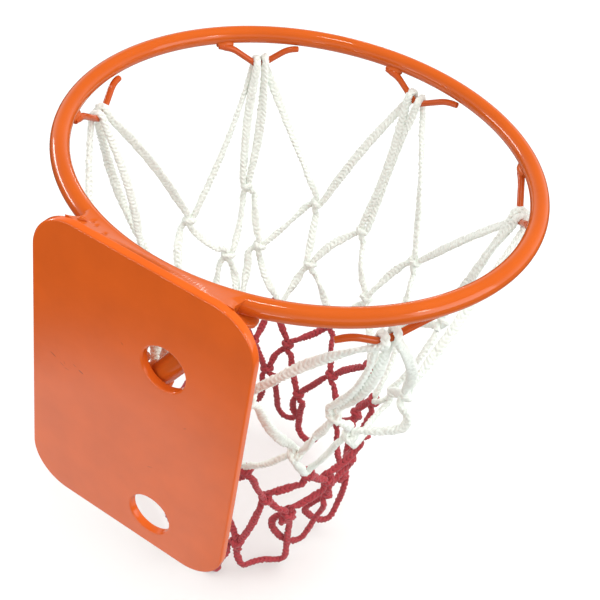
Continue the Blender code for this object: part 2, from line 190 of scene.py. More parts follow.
# Scuffs on the plate's back: from x, z to x, z in mm, and how far each darkens the enamel.
PLATE_SCRATCHES = (
    (-49.4, 5.3, -45.6, 3.6, 0.6), (-31.9, 4.4, -28.7, 3.4, 0.8), (-43.4, 2.1, -40.5, 0.9, 0.3),
    (-40.7, 0.3, -37.4, 0.2, 0.25), (-35.4, 6.0, -33.0, 5.1, 0.3), (-41.0, 4.5, -39.9, 2.2, 0.2),
    (12.0, -32.0, 15.4, -30.4, 0.25), (-8.0, 38.0, -6.4, 36.9, 0.3), (30.0, 8.0, 31.8, 9.4, 0.25),
)
# How far a scuff reaches into the plate, and to each side of its line.
SCRATCH_DEPTH, SCRATCH_HALF_WIDTH = 0.4 * MM, 0.42 * MM

# Small pits in the weld, in mm: along the plate, share of the way from the plate to the bar, radius and depth.
PITS = ((-34.9, 0.55, 0.9, 0.8), (-31.5, 0.45, 0.7, 0.7), (-25.0, 0.3, 0.8, 0.7), (41.0, 0.5, 1.0, 0.6))
# The drop of weld where the weld began, in mm.
WELD_DROP = ((-39.6, 6.0, 87.0), (-38.4, 6.7, 87.4), (-37.2, 7.4, 87.3), (-36.2, 8.1, 86.8))

# The camera of the photograph: its place in metres, and its right, down and forward.
CAMERA_PLACE = (0.21636, -0.29327, 0.39428)
CAMERA_RIGHT = Vector((0.828828, 0.539926, 0.14671))
CAMERA_DOWN = Vector((0.452564, -0.492773, -0.74321))
CAMERA_FORWARD = Vector((-0.328983, 0.682389, -0.652775))
LENS, SENSOR = 68.19, 36.0

# Lamps: name, place and aim in metres, size in metres, watts, roll in degrees, and what shows them. The narrow
# windows and the tube show in the gloss alone, as bright lines on the bar and the weld.
LAMPS = (
    ("overhead_softbox", (0.4, 0.55, 1.45), (0.0, 0.12, 0.0), (1.6, 1.3), 9.5, 0, "diffuse"),
    ("window_right", (1.25, 0.35, 0.4), (0.1, 0.13, 0.08), (0.9, 0.8), 3.2, 0, "both"),
    ("low_window", (-0.1, -1.05, -0.13), (-0.05, 0.08, 0.08), (1.8, 0.08), 3.8, 0, "gloss"),
    ("window_left", (-1.2, -0.02, 0.24), (-0.07, 0.03, 0.083), (0.75, 0.15), 3.4, -12, "gloss"),
    ("ceiling_tube", (0.01, -0.02, 1.29), (0.05, 0.02, 0.084), (0.035, 0.17), 1.1, 0, "gloss"),
    ("small_window", (0.95, 0.1, 0.6), (-0.1, 0.18, 0.08), (0.1, 0.12), 0.4, 0, "gloss"),
    ("slit_opposite", (-0.46, 1.2, 0.2), (0.02, 0.01, 0.085), (0.1, 0.025), 0.1, 0, "gloss"),
)
# The floor lies this far below the solids and reaches this far each way.
FLOOR_DROP, FLOOR_REACH = 9 * MM, 3.0
# The room's even light, and the shares of the paper's white that scattered rays and mirrors get.
ROOM_LIGHT = 1.12
PAPER_SCATTERED, PAPER_MIRRORED = 0.42, 0.5
# What gloss sees of the paper far from the hoop: painted near black, a painted dark reflection.
PAPER_FAR_PAINTED_DARK = (0.03, 0.03, 0.03, 1.0)


def length_property(name, description, mm):
    """A length property whose default is given in mm."""
    return bpy.props.FloatProperty(name=name, description=description, default=mm * MM, unit="LENGTH")


def colour_property(name, description, value):
    """A colour property, kept as an sRGB hex."""
    return bpy.props.StringProperty(name=name, description=description + ", sRGB hex", default=value)


class HoopMetal(bpy.types.PropertyGroup):
    """Sizes of the steel parts"""

    edge_radius: length_property("Plate edge", "Rounding of the plate's sawn edges", 0.9)
    corner_radius: length_property("Plate corner", "Radius of the plate's corners", 23.0)
    hole_diameter: length_property("Bolt hole", "Diameter of both bolt holes", 24.0)
    wire: length_property("Hook wire", "Diameter of the hooks' wire", 3.5)
    brace: length_property("Brace rod", "Diameter of the brace rods", 12.0)
    weld_half_length: length_property("Rim weld", "Half the length of the weld between rim and plate", 45.0)
    bead: length_property("Weld bead", "Diameter of the small weld beads", 5.0)
    ripple_pitch: length_property("Weld ripple", "Distance from one ripple of a weld to the next", 1.6)


class HoopNet(bpy.types.PropertyGroup):
    """Sizes of the net's cord and of its braid"""

    flat_width: length_property("Cord width", "Width of the cord where it lies flat", 5.3)
    flat_thickness: length_property("Cord thickness", "Thickness of the cord where it lies flat", 2.1)
    round_diameter: length_property("Taut cord", "Diameter of the cord where it is pulled round", 3.5)
    stitch_length: length_property("Stitch", "Length of one stitch of the braid", 2.6)
    stitch_depth: length_property("Stitch depth", "Depth of the grooves between stitches", 0.75)
    stitch_columns: bpy.props.IntProperty(
        name="Stitch columns", description="Columns of V stitches round the cord", default=4, min=1
    )
    fuzz: length_property("Fuzz", "How far tufts of yarn stand up", 1.7)
    sides: bpy.props.IntProperty(name="Sides", description="Points round the cord", default=24, min=8)
    step: length_property("Step", "Distance between rings along the cord", 0.45)
    seed: bpy.props.IntProperty(name="Seed", description="Which way the cords fall and twist", default=11)


class HoopColours(bpy.types.PropertyGroup):
    """Colours of the enamel, the cords and the floor"""

    enamel: colour_property("Enamel", "Orange enamel on the plate", "#EB671F")
    # The bars' and the hooks' colours are the plate's enamel made darker: painted shade, darkest on the hooks under
    # the rim.
    enamel_bar_painted_shade: colour_property("Enamel on bars", "Orange enamel on bar and weld", "#D5611F")
    enamel_wire_painted_shade: colour_property("Enamel on hooks", "Orange enamel on the hooks' wire", "#CB561C")
    enamel_thin: colour_property("Thin enamel", "Enamel where its coat is thin", "#B24A1A")
    scratch: colour_property("Scuffs", "Scuffed enamel on the plate's back", "#8A3510")
    # Each groove colour is painted shade in the braid's grooves, and the colour of its soiling too.
    white_cord: colour_property("White cord", "White braid", "#F8FEF6")
    white_groove_shade_and_soil: colour_property("White grooves", "Grooves of the white braid", "#DFE5D9")
    red_cord: colour_property("Red cord", "Red braid", "#BB4047")
    red_groove_shade_and_soil: colour_property("Red grooves", "Grooves of the red braid", "#42080F")
    floor: colour_property("Floor", "Floor and backdrop", "#F2F2F0")


def linear(hex_colour):
    """An sRGB hex colour as linear RGBA."""
    parts = [int(hex_colour[i : i + 2], 16) / 255 for i in (1, 3, 5)]
    return (*[p / 12.92 if p <= 0.04045 else ((p + 0.055) / 1.055) ** 2.4 for p in parts], 1.0)


def add_node(tree, kind, inputs=None, **settings):
    """Adds a node, sets its settings, and sets or links each input named or numbered in inputs."""
    node = tree.nodes.new(kind)
    for name, value in settings.items():
        setattr(node, name, value)
    for key, value in (inputs or {}).items():
        if isinstance(value, bpy.types.NodeSocket):
            tree.links.new(value, node.inputs[key])
        else:
            node.inputs[key].default_value = value
    return node


def math_of(tree, operation, *values):
    """The result of a Math node; each value is a number or a socket."""
    return add_node(tree, "ShaderNodeMath", dict(enumerate(values)), operation=operation).outputs[0]


def vector_of(tree, operation, *values):
    """The result of a Vector Math node: a number for a length or a distance, and otherwise a vector."""
    inputs = dict(enumerate(values))
    if operation == "SCALE":
        inputs["Scale"] = inputs.pop(1)
    node = add_node(tree, "ShaderNodeVectorMath", inputs, operation=operation)
    return node.outputs["Value" if operation in ("LENGTH", "DISTANCE") else "Vector"]


def remap(tree, value, low, high, first, last, **settings):
    """Turns the range low to high into first to last."""
    inputs = {"Value": value, "From Min": low, "From Max": high, "To Min": first, "To Max": last}
    return add_node(tree, "ShaderNodeMapRange", inputs, **settings).outputs["Result"]


def blend(tree, share, first, second):
    """A mix of two colours."""
    inputs = {"Factor": share, "A": first, "B": second}
    return add_node(tree, "ShaderNodeMix", inputs, data_type="RGBA").outputs["Result"]


def noise(tree, place, per_metre, detail, roughness=0.5):
    """Noise with so many lumps to the metre."""
    inputs = {"Vector": place, "Scale": per_metre, "Detail": detail, "Roughness": roughness}
    return add_node(tree, "ShaderNodeTexNoise", inputs).outputs["Fac"]


def new_material(name, **settings):
    """A material with its tree and its Principled shader; settings are the shader's constant sockets."""
    material = bpy.data.materials.new(name)
    material.use_nodes = True
    shader = material.node_tree.nodes["Principled BSDF"]
    for socket, value in settings.items():
        shader.inputs[socket.replace("_", " ")].default_value = value
    return material, material.node_tree, shader


def add_bump(tree, shader, height, strength, distance):
    """Roughens the shader's surface by the height."""
    bump = add_node(tree, "ShaderNodeBump", {"Height": height, "Strength": strength, "Distance": distance})
    tree.links.new(bump.outputs["Normal"], shader.inputs["Normal"])


def enamel_material(name, colour, roughness, wave, scratches=()):
    """Stoved enamel over rolled steel: a deep gloss with a slow orange-peel wave, on a coat of uneven thickness."""
    material, tree, shader = new_material(name, Metallic=0.0, IOR=1.55)
    colours = bpy.context.scene.hoop_colours
    place = add_node(tree, "ShaderNodeTexCoord").outputs["Object"]
    # Mottling of the coat at 25 mm, orange peel at about 4 mm, and grit under 1 mm.
    mottle = noise(tree, place, 40.0, 3.0)
    peel = noise(tree, place, 240.0, 1.0, 0.4)
    grit = noise(tree, place, 1500.0, 2.0, 0.6)
    thinness = remap(tree, mottle, 0.3, 0.7, 0.0, 0.22)
    finish = blend(tree, thinness, linear(colour), linear(colours.enamel_thin))
    for x_start, z_start, x_end, z_end, depth in scratches:
        middle = ((x_start + x_end) / 2 * MM, 0.0, (z_start + z_end) / 2 * MM)
        half = math.hypot(x_end - x_start, z_end - z_start) / 2 * MM
        lie = math.atan2(z_end - z_start, x_end - x_start)
        shifted = vector_of(tree, "SUBTRACT", place, middle)
        turned = add_node(
            tree, "ShaderNodeVectorRotate", {"Vector": shifted, "Angle": lie}, rotation_type="Y_AXIS"
        ).outputs[0]
        shrink = (1 / half, 1 / SCRATCH_DEPTH, 1 / SCRATCH_HALF_WIDTH)
        squashed = vector_of(tree, "MULTIPLY", turned, shrink)
        mark = remap(tree, vector_of(tree, "LENGTH", squashed), 0.55, 1.15, depth, 0.0)
        finish = blend(tree, mark, finish, linear(colours.scratch))
    tree.links.new(finish, shader.inputs["Base Color"])
    tree.links.new(remap(tree, grit, 0.0, 1.0, roughness * 0.8, roughness * 1.25), shader.inputs["Roughness"])
    add_bump(tree, shader, peel, wave, 0.3 * MM)
    return material


def cord_material(name, colour, groove_shade_and_soil, sheen):
    """Soft polyester braid: matt, with a light fuzz and painted shade in the grooves between its stitches."""
    material, tree, shader = new_material(
        name, Metallic=0.0, Roughness=0.85, IOR=1.45, Sheen_Weight=sheen, Sheen_Roughness=0.5
    )
    place = add_node(tree, "ShaderNodeTexCoord").outputs["Object"]
    stitch = add_node(tree, "ShaderNodeAttribute", attribute_name="stitch").outputs["Fac"]
    # Filaments of the yarn at about 0.4 mm, and soiling at about 12 mm.
    yarn = noise(tree, place, 2400.0, 3.0, 0.6)
    soil = noise(tree, place, 80.0, 2.0)
    # Painted shade: where the stitch height is low, in the grooves, the colour goes to the groove colour.
    raised = blend(tree, remap(tree, stitch, 0.05, 0.6, 0.0, 1.0), linear(groove_shade_and_soil), linear(colour))
    # Soiling in patches darkens towards the same colour.
    worn = blend(tree, remap(tree, soil, 0.35, 0.75, 0.0, 0.16), raised, linear(groove_shade_and_soil))
    tree.links.new(worn, shader.inputs["Base Color"])
    add_bump(tree, shader, yarn, 0.5, 0.25 * MM)
    return material


def material_of(name):
    """Each finish is made once, the first time a piece asks for it."""
    if name in bpy.data.materials:
        return bpy.data.materials[name]
    colours = bpy.context.scene.hoop_colours
    # Enamels: colour, roughness and wave. Cords: colour, groove colour (painted shade and soiling) and sheen.
    makers = {
        # Stoved enamel on the sawn plate, with the scuffs of its handling.
        "orange_enamel_on_plate": (enamel_material, colours.enamel, 0.12, 0.1, PLATE_SCRATCHES),
        # The same enamel on the smooth drawn bar and rods, in a darker colour: painted shade.
        "orange_enamel_on_bar_painted_shade": (enamel_material, colours.enamel_bar_painted_shade, 0.09, 0.08),
        # Enamel over weld metal, a little rougher, in the bar's darker colour: painted shade.
        "orange_enamel_on_weld_painted_shade": (enamel_material, colours.enamel_bar_painted_shade, 0.12, 0.15),
        # The same enamel on the hooks' wire, rougher, in a darker colour still: painted shade under the rim.
        "orange_enamel_on_wire_painted_shade": (enamel_material, colours.enamel_wire_painted_shade, 0.15, 0.15),
        # Braided polyester cord, undyed.
        "white_polyester_braid": (cord_material, colours.white_cord, colours.white_groove_shade_and_soil, 0.6),
        # The same cord dyed crimson.
        "red_polyester_braid": (cord_material, colours.red_cord, colours.red_groove_shade_and_soil, 0.3),
    }
    make, *settings = makers[name]
    return make(name, *settings)


def new_tree(name, geometry_out, **inputs):
    """An empty Geometry Nodes tree that takes a path and the inputs named for each kind: tree, inputs and end."""
    tree = bpy.data.node_groups.new(name, "GeometryNodeTree")
    tree.interface.new_socket("Path", in_out="INPUT", socket_type="NodeSocketGeometry")
    for kind, labels in inputs.items():
        for label in labels:
            tree.interface.new_socket(label, in_out="INPUT", socket_type="NodeSocket" + kind)
    tree.interface.new_socket(geometry_out, in_out="OUTPUT", socket_type="NodeSocketGeometry")
    return tree, tree.nodes.new("NodeGroupInput").outputs, tree.nodes.new("NodeGroupOutput")


def capture(tree, geometry, *items):
    """Keeps each item (kind, label, field) on the geometry's points."""
    keep = add_node(tree, "GeometryNodeCaptureAttribute", {"Geometry": geometry}, domain="POINT")
    for kind, label, source in items:
        keep.capture_items.new(kind, label)
        tree.links.new(source, keep.inputs[label])
    return keep


def even_path(tree, given, *items):
    """The path as a curve of even steps that keeps the items and its length so far."""
    curve = add_node(tree, "GeometryNodeMeshToCurve", {"Mesh": given["Path"]})
    even = add_node(
        tree, "GeometryNodeResampleCurve", {"Curve": curve.outputs[0], "Length": given["Step"]}, mode="LENGTH"
    )
    length = add_node(tree, "GeometryNodeSplineParameter").outputs["Length"]
    return capture(tree, even.outputs[0], *items, ("FLOAT", "length", length))


def marked_circle(tree, given, radius):
    """The circle to sweep, with how far round each of its points is, from 0 to 1."""
    circle = add_node(tree, "GeometryNodeCurvePrimitiveCircle", {"Resolution": given["Sides"], "Radius": radius})
    factor = add_node(tree, "GeometryNodeSplineParameter").outputs["Factor"]
    return capture(tree, circle.outputs["Curve"], ("FLOAT", "turn", factor))


def sweep(tree, path, circle, **inputs):
    """The circle swept along the path, with closed ends."""
    ends = {"Curve": path.outputs["Geometry"], "Profile Curve": circle.outputs["Geometry"], "Fill Caps": True}
    return add_node(tree, "GeometryNodeCurveToMesh", {**ends, **inputs}).outputs[0]


def carried(tree, name, **settings):
    """What the path's points carry under this name."""
    return add_node(tree, "GeometryNodeInputNamedAttribute", {"Name": name}, **settings).outputs[0]


def finish_tree(tree, geometry, material, end):
    """Smooth shading, realised instances and the material, as every tree here ends."""
    smooth = add_node(tree, "GeometryNodeSetShadeSmooth", {"Geometry": geometry})
    real = add_node(tree, "GeometryNodeRealizeInstances", {"Geometry": smooth.outputs[0]})
    painted = add_node(tree, "GeometryNodeSetMaterial", {"Geometry": real.outputs[0], "Material": material})
    tree.links.new(painted.outputs[0], end.inputs[0])


def braided_cord_tree():
    """Sweeps a braid along a path that carries its facing, flatness and squeeze at each point."""
    if "Braided cord" in bpy.data.node_groups:
        return bpy.data.node_groups["Braided cord"]
    tree, given, end = new_tree(
        "Braided cord",
        "Cord",
        Float=("Flat width", "Flat thickness", "Round diameter", "Stitch length", "Stitch depth", "Fuzz", "Step"),
        Int=("Stitch columns", "Sides"),
        Material=("Finish",),
    )
    centre = add_node(tree, "GeometryNodeInputPosition").outputs[0]
    tangent = add_node(tree, "GeometryNodeInputTangent").outputs[0]
    path = even_path(tree, given, ("VECTOR", "centre", centre), ("VECTOR", "along", tangent))
    circle = marked_circle(tree, given, 10 * MM)
    turn = circle.outputs["turn"]
    tube = sweep(tree, path, circle)

    along = path.outputs["along"]
    across = vector_of(tree, "CROSS_PRODUCT", along, carried(tree, "facing", data_type="FLOAT_VECTOR"))
    side = vector_of(tree, "NORMALIZE", across)
    up = vector_of(tree, "CROSS_PRODUCT", side, along)

    # Each ring is an ellipse, between the round cord and the flat one.
    flat, squeeze = carried(tree, "flatness"), carried(tree, "squeeze")
    halves = []
    for label in ("Flat width", "Flat thickness"):
        size = add_node(tree, "ShaderNodeMix", {"Factor": flat, "A": given["Round diameter"], "B": given[label]})
        halves.append(math_of(tree, "MULTIPLY", math_of(tree, "MULTIPLY", size.outputs[0], squeeze), 0.5))
    wide, thick = halves
    angle = math_of(tree, "MULTIPLY", turn, 2 * math.pi)
    cosine, sine = math_of(tree, "COSINE", angle), math_of(tree, "SINE", angle)

    def ring_vector(first, second):
        one = vector_of(tree, "SCALE", side, math_of(tree, "MULTIPLY", cosine, first))
        two = vector_of(tree, "SCALE", up, math_of(tree, "MULTIPLY", sine, second))
        return vector_of(tree, "ADD", one, two)

    ring = vector_of(tree, "ADD", path.outputs["centre"], ring_vector(wide, thick))
    outward = vector_of(tree, "NORMALIZE", ring_vector(thick, wide))

    # A triangle wave round the cord slants neighbouring stitches opposite ways, which makes the V's.
    slant = math_of(tree, "PINGPONG", math_of(tree, "MULTIPLY", turn, given["Stitch columns"]), 1.0)
    rows = math_of(tree, "DIVIDE", path.outputs["length"], given["Stitch length"])
    phase = math_of(tree, "MULTIPLY", math_of(tree, "MULTIPLY_ADD", slant, 1.1, rows), math.pi)
    ridge = math_of(tree, "POWER", math_of(tree, "ABSOLUTE", math_of(tree, "SINE", phase)), 0.7)
    crown = math_of(tree, "MULTIPLY", math_of(tree, "SINE", math_of(tree, "MULTIPLY", slant, math.pi)), 0.2)
    height = math_of(tree, "MULTIPLY_ADD", ridge, 0.8, crown)
    relief = math_of(tree, "MULTIPLY", math_of(tree, "SUBTRACT", height, 0.5), given["Stitch depth"])
    # The yarn stands up unevenly, in tufts about 1.5 mm apart.
    tuft = math_of(tree, "SUBTRACT", noise(tree, ring, 680.0, 1.0), 0.5)
    uneven = math_of(tree, "MULTIPLY_ADD", tuft, given["Fuzz"], relief)
    place = vector_of(tree, "ADD", ring, vector_of(tree, "SCALE", outward, uneven))
    braid = add_node(tree, "GeometryNodeSetPosition", {"Geometry": tube, "Position": place})
    # The stitch height goes to the material, which paints shade in the low places.
    marked = add_node(
        tree, "GeometryNodeStoreNamedAttribute", {"Geometry": braid.outputs[0], "Name": "stitch", "Value": height}
    )
    finish_tree(tree, marked.outputs[0], given["Finish"], end)
    return tree


def round_bar_tree():
    """Sweeps round stock along a path that carries a thickness at each point, with optional weld ripples."""
    if "Round bar" in bpy.data.node_groups:
        return bpy.data.node_groups["Round bar"]
    tree, given, end = new_tree(
        "Round bar",
        "Bar",
        Float=("Diameter", "Ripple pitch", "Ripple height", "Unevenness", "Step"),
        Int=("Sides",),
        Material=("Finish",),
    )
    path = even_path(tree, given)
    circle = marked_circle(tree, given, math_of(tree, "MULTIPLY", given["Diameter"], 0.5))
    tube = sweep(tree, path, circle, Scale=carried(tree, "thickness"))
    # Each ripple is a crescent, so its phase runs ahead on one side of the bead.
    bow = math_of(tree, "COSINE", math_of(tree, "MULTIPLY", circle.outputs["turn"], 2 * math.pi))
    rows = math_of(tree, "DIVIDE", path.outputs["length"], given["Ripple pitch"])
    phase = math_of(tree, "MULTIPLY", math_of(tree, "MULTIPLY_ADD", bow, 0.4, rows), math.pi)
    wave = math_of(tree, "ABSOLUTE", math_of(tree, "SINE", phase))
    ripple = math_of(tree, "MULTIPLY", wave, given["Ripple height"])
    # The bead's lumps are about 4 mm apart.
    place = add_node(tree, "GeometryNodeInputPosition").outputs[0]
    lumps = math_of(tree, "SUBTRACT", noise(tree, place, 260.0, 1.0), 0.5)
    uneven = math_of(tree, "MULTIPLY_ADD", lumps, given["Unevenness"], ripple)
    raised = vector_of(tree, "SCALE", add_node(tree, "GeometryNodeInputNormal").outputs[0], uneven)
    shaped = add_node(tree, "GeometryNodeSetPosition", {"Geometry": tube, "Offset": raised})
    finish_tree(tree, shaped.outputs[0], given["Finish"], end)
    return tree


def new_object(name, mesh):
    """An object for the mesh, linked into the scene."""
    made = bpy.data.objects.new(name, mesh)
    bpy.context.scene.collection.objects.link(made)
    return made


def object_of(name, shape):
    """An object from a bmesh, which is freed."""
    mesh = bpy.data.meshes.new(name)
    shape.to_mesh(mesh)
    shape.free()
    return new_object(name, mesh)


def path_object(name, points, closed, values, kinds):
    """A mesh of bare edges through the points, in metres, that carries the values of each kind."""
    ends = [(len(points) - 1, 0)] if closed else []
    mesh = bpy.data.meshes.new(name)
    mesh.from_pydata([tuple(p) for p in points], [(i, i + 1) for i in range(len(points) - 1)] + ends, [])
    for key, kind in kinds.items():
        layer = mesh.attributes.new(key, kind, "POINT")
        member = "vector" if kind == "FLOAT_VECTOR" else "value"
        layer.data.foreach_set(member, np.asarray(values[key], np.float32).ravel())
    return new_object(name, mesh)


def run_tree(obj, tree, values):
    """Runs the tree on the object and leaves a plain mesh object of the same name."""
    modifier = obj.modifiers.new(tree.name, "NODES")
    modifier.node_group = tree
    for item in tree.interface.items_tree:
        if item.in_out == "INPUT" and item.name in values:
            modifier[item.identifier] = values[item.name]
    bpy.context.view_layer.update()
    graph = bpy.context.evaluated_depsgraph_get()
    mesh = bpy.data.meshes.new_from_object(obj.evaluated_get(graph))
    name, old = obj.name, obj.data
    bpy.data.objects.remove(obj, do_unlink=True)
    bpy.data.meshes.remove(old)
    mesh.name = name
    return new_object(name, mesh)


def joined(name, objects):
    """One mesh object made from several of one material each, which are removed."""
    shape = bmesh.new()
    materials = []
    for obj in objects:
        first = len(shape.faces)
        shape.from_mesh(obj.data)
        shape.faces.ensure_lookup_table()
        material = obj.data.materials[0]
        if material not in materials:
            materials.append(material)
        for face in shape.faces[first:]:
            face.material_index = materials.index(material)
        bpy.data.objects.remove(obj, do_unlink=True)
    made = object_of(name, shape)
    for material in materials:
        made.data.materials.append(material)
    return made


def place_piece(obj, slot, *nodes):
    """Rides the piece on the hoop's body and hides the solids it stands for; its slot is not used."""
    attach(obj, BODY)
    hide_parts(*nodes)


def below_rim(angle, along, radius, drop):
    """A point below the rim, as an array: angle in degrees, then a distance along it, a radius and a drop."""
    turn = math.radians(angle) + along / radius
    centre = RIM_CENTRE
    return np.array([centre.x + radius * math.cos(turn), centre.y + radius * math.sin(turn), centre.z - drop])


def unit(vector):
    """The vector at length 1."""
    return vector / max(float(np.linalg.norm(vector)), 1e-9)


def between(first, last, start, stop, t):
    """The place at t on the straight line that is at first at start and at last at stop."""
    return (stop - t) / (stop - start) * first + (t - start) / (stop - start) * last


def smooth_path(points, closed, spacing, values):
    """A centripetal Catmull-Rom line through the points at about the spacing; values are carried linearly."""
    points = np.asarray(points, float)
    count = len(points)
    values = {key: np.asarray(value, float) for key, value in values.items()}
    line, carries = [], {key: [] for key in values}
    for i in range(count if closed else count - 1):
        p1, p2 = points[i], points[(i + 1) % count]
        p0 = points[i - 1] if closed or i else 2 * p1 - p2
        p3 = points[(i + 2) % count] if closed or i < count - 2 else 2 * p2 - p1
        gaps = [max(np.linalg.norm(b - a), 1e-6) ** 0.5 for a, b in ((p0, p1), (p1, p2), (p2, p3))]
        k0, k1, k2, k3 = np.cumsum([0] + gaps)
        steps = max(2, int(np.ceil(np.linalg.norm(p2 - p1) / spacing)))
        for k in range(steps):
            share = k / steps
            t = k1 + (k2 - k1) * share
            a1, a2, a3 = between(p0, p1, k0, k1, t), between(p1, p2, k1, k2, t), between(p2, p3, k2, k3, t)
            line.append(between(between(a1, a2, k0, k2, t), between(a2, a3, k1, k3, t), k1, k2, t))
            for key, value in values.items():
                carries[key].append(value[i] * (1 - share) + value[(i + 1) % count] * share)
    if not closed:
        line.append(points[-1])
        for key, value in values.items():
            carries[key].append(value[-1])
    return np.array(line), {key: np.array(value) for key, value in carries.items()}


def facings(line, closed, twist):
    """The way the cord's flat side looks at each point: away from the net's axis, turned by the twist."""
    axis = np.array([RIM_CENTRE.x, RIM_CENTRE.y, 0.0])
    tangents = np.gradient(line, axis=0)
    if closed:
        tangents[0] = line[1] - line[-1]
        tangents[-1] = line[0] - line[-2]
    tangents /= np.maximum(np.linalg.norm(tangents, axis=1, keepdims=True), 1e-9)
    found = np.zeros_like(line)
    # Any way will do to start with.
    facing = np.array([0.3, 0.2, 0.9])
    # A closed cord is gone round twice, so that its end faces as its start does.
    for _ in range(2 if closed else 1):
        for i, tangent in enumerate(tangents):
            facing = unit(facing - tangent * (facing @ tangent))
            out = unit((line[i] - axis) * (1, 1, 0))
            flat = out - tangent * (out @ tangent)
            strength = np.linalg.norm(flat)
            if strength > FACING_SLANT:
                flat = flat / strength
                wanted = flat * math.cos(twist[i]) + np.cross(tangent, flat) * math.sin(twist[i])
                wanted = wanted if wanted @ facing >= 0 else -wanted
                facing = unit(facing + wanted * FACING_PULL * strength)
            found[i] = facing
    return found


class CordRun:
    """A run of cord: its control points, and how flat, squeezed and twisted it is at each."""

    def __init__(self, closed):
        self.closed = closed
        self.points, self.flatness, self.squeeze, self.twist = [], [], [], []

    def add(self, places, flatness, squeeze, twist):
        """Adds points that are alike in these three."""
        self.points.extend(places)
        self.flatness.extend([flatness] * len(places))
        self.squeeze.extend([squeeze] * len(places))
        self.twist.extend([twist] * len(places))

    def add_knot(self, places, twist=0.0):
        """Adds the points of a knot."""
        self.add(places, KNOT_FLATNESS, KNOT_SQUEEZE, twist)


def make_cord(name, run, finish):
    """A braided cord piece from a run."""
    net = bpy.context.scene.hoop_net
    values = {"flatness": run.flatness, "squeeze": run.squeeze, "twist": run.twist}
    line, carries = smooth_path(run.points, run.closed, 0.7 * MM, values)
    carries["facing"] = facings(line, run.closed, carries["twist"])
    carries["flatness"] = np.clip(carries["flatness"], 0.0, 1.0)
    kinds = {"facing": "FLOAT_VECTOR", "flatness": "FLOAT", "squeeze": "FLOAT"}
    return run_tree(
        path_object(name, line, run.closed, carries, kinds),
        braided_cord_tree(),
        {
            "Flat width": net.flat_width,
            "Flat thickness": net.flat_thickness,
            "Round diameter": net.round_diameter,
            "Stitch length": net.stitch_length,
            "Stitch depth": net.stitch_depth,
            "Stitch columns": net.stitch_columns,
            "Fuzz": net.fuzz,
            "Sides": net.sides,
            "Step": net.step,
            "Finish": material_of(finish),
        },
    )


def make_bar(name, points, finish, diameter, closed=False, thickness=None, ripple=0.0, uneven=0.0, sides=24, step=0.5):
    """Round stock or a weld bead along the points, with its thickness at each; step is in mm."""
    carries = {"thickness": thickness or [1.0] * len(points)}
    return run_tree(
        path_object(name, points, closed, carries, {"thickness": "FLOAT"}),
        round_bar_tree(),
        {
            "Diameter": diameter,
            "Ripple pitch": bpy.context.scene.hoop_metal.ripple_pitch,
            "Ripple height": ripple,
            "Unevenness": uneven,
            "Sides": sides,
            "Step": step * MM,
            "Finish": material_of(finish),
        },
    )


def knot_place(entry):
    """A knot's place from its angle, drop and distance."""
    angle, drop, radius = entry
    return below_rim(angle, 0.0, radius * MM, drop * MM)


def knot_frame(entry):
    """Along the row, away from the net's axis, and up, at a knot."""
    turn = math.radians(entry[0])
    out = np.array([math.cos(turn), math.sin(turn), 0.0])
    along = np.array([-math.sin(turn), math.cos(turn), 0.0])
    return along, out, np.array([0.0, 0.0, 1.0])


def put_shape(entry, shape):
    """A knot's shape at its place, sized and turned a little by chance, alike for both cords of the knot."""
    random = np.random.default_rng(int(entry[0] * 10 + entry[1] * 1000))
    size = random.uniform(0.92, 1.14)
    turn, tilt = random.uniform(-0.6, 0.6), random.uniform(-0.4, 0.4)
    centre = knot_place(entry)
    along, out, up = knot_frame(entry)
    along, out = along * math.cos(turn) + out * math.sin(turn), out * math.cos(turn) - along * math.sin(turn)
    along, up = along * math.cos(tilt) + up * math.sin(tilt), up * math.cos(tilt) - along * math.sin(tilt)
    return [centre + (x * along + y * out + z * up) * MM * size for x, y, z in shape]


def strand(start, end, random, bow, sag, count, push=(0.0, 0.0, 0.0)):
    """Points between two knots, bowed by chance, sagging, and pushed along the row, outwards and down by mm."""
    way = end - start
    length = float(np.linalg.norm(way))
    middle = (start + end) / 2 - np.array([RIM_CENTRE.x, RIM_CENTRE.y, 0.0])
    out = unit(middle * (1, 1, 0))
    across = unit(np.cross(way, out))
    lean, drift = random.uniform(-bow, bow), random.uniform(-bow, bow)
    level = 1 - abs(way[2]) / max(length, 1e-6)
    pushed = (np.cross((0.0, 0.0, 1.0), out) * push[0] + out * push[1] - np.array([0.0, 0.0, push[2]])) * MM
    found = []
    for k in range(1, count + 1):
        t = k / (count + 1)
        hump = math.sin(math.pi * t)
        place = start + way * t + across * lean * hump + out * drift * OUTWARD_BOW * hump
        found.append(place + pushed * hump - np.array([0.0, 0.0, sag * level * hump]))
    return found


